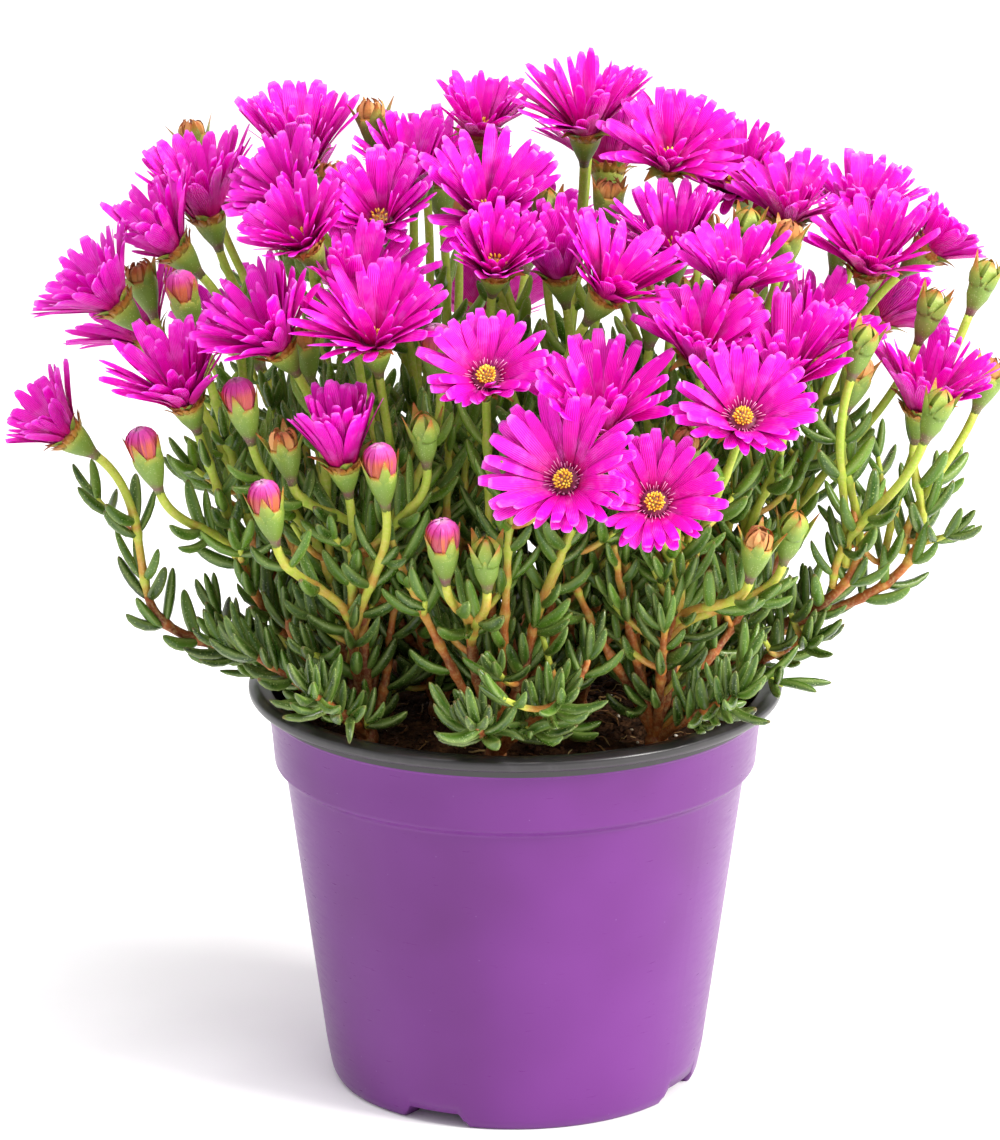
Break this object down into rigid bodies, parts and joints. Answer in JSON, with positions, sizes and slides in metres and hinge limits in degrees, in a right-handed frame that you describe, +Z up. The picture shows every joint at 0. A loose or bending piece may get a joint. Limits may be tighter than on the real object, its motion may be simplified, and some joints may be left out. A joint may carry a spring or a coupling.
{
  "type": "potted plant",
  "caption": "Ice plant with vivid magenta daisy-like blooms on leafy forked stems, in a filled two-tone purple nursery pot.",
  "frame": {"origin": "centre of the pot's round central foot plate, on the surface that the pot stands on", "axes": "+Z up along the pot's axis, -Y towards the front, +X to the right as seen from the front"},
  "size_m": [0.3195, 0.24, 0.3279],
  "materials": {
    "pot_plastic": "satin moulded polypropylene, purple outside and dark grey inside and on the lip",
    "soil": null,
    "foliage": null,
    "petals": null
  },
  "bodies": {
    "root": {"pot": "pot_plastic", "soil": "soil", "stem_front_left": "foliage", "stem_front": "foliage", "stem_front_right": "foliage", "stem_left": "foliage", "stem_right": "foliage", "stem_inner_left": "foliage", "stem_inner_right": "foliage", "stem_back_left": "foliage", "stem_back_right": "foliage", "bloom_01": "petals", "bloom_02": "petals", "bloom_03": "petals", "bloom_04": "petals", "bloom_05": "petals", "bloom_06": "petals", "bloom_07": "petals", "bloom_08": "petals", "bloom_09": "petals", "bloom_10": "petals", "bloom_11": "petals", "bloom_12": "petals", "bloom_13": "petals", "bloom_14": "petals", "bloom_15": "petals", "bloom_16": "petals", "bloom_17": "petals", "bloom_18": "petals", "bloom_19": "petals", "bloom_20": "petals", "bloom_21": "petals", "bloom_22": "petals", "bloom_23": "petals", "bloom_24": "petals", "bloom_25": "petals", "bloom_26": "petals", "bloom_27": "petals", "bloom_28": "petals", "bloom_29": "petals", "bloom_30": "petals", "bloom_31": "petals", "bloom_32": "petals", "bloom_33": "petals", "bloom_34": "petals", "bloom_35": "petals", "bloom_36": "petals", "bloom_37": "petals", "bloom_38": "petals", "bloom_39": "petals", "bloom_40": "petals", "bloom_41": "petals", "bloom_42": "petals", "bloom_43": "petals", "bloom_44": "petals", "bloom_45": "petals", "bloom_46": "petals", "bloom_47": "petals", "bloom_48": "petals", "bloom_49": "petals"}
  },
  "joints": []
}
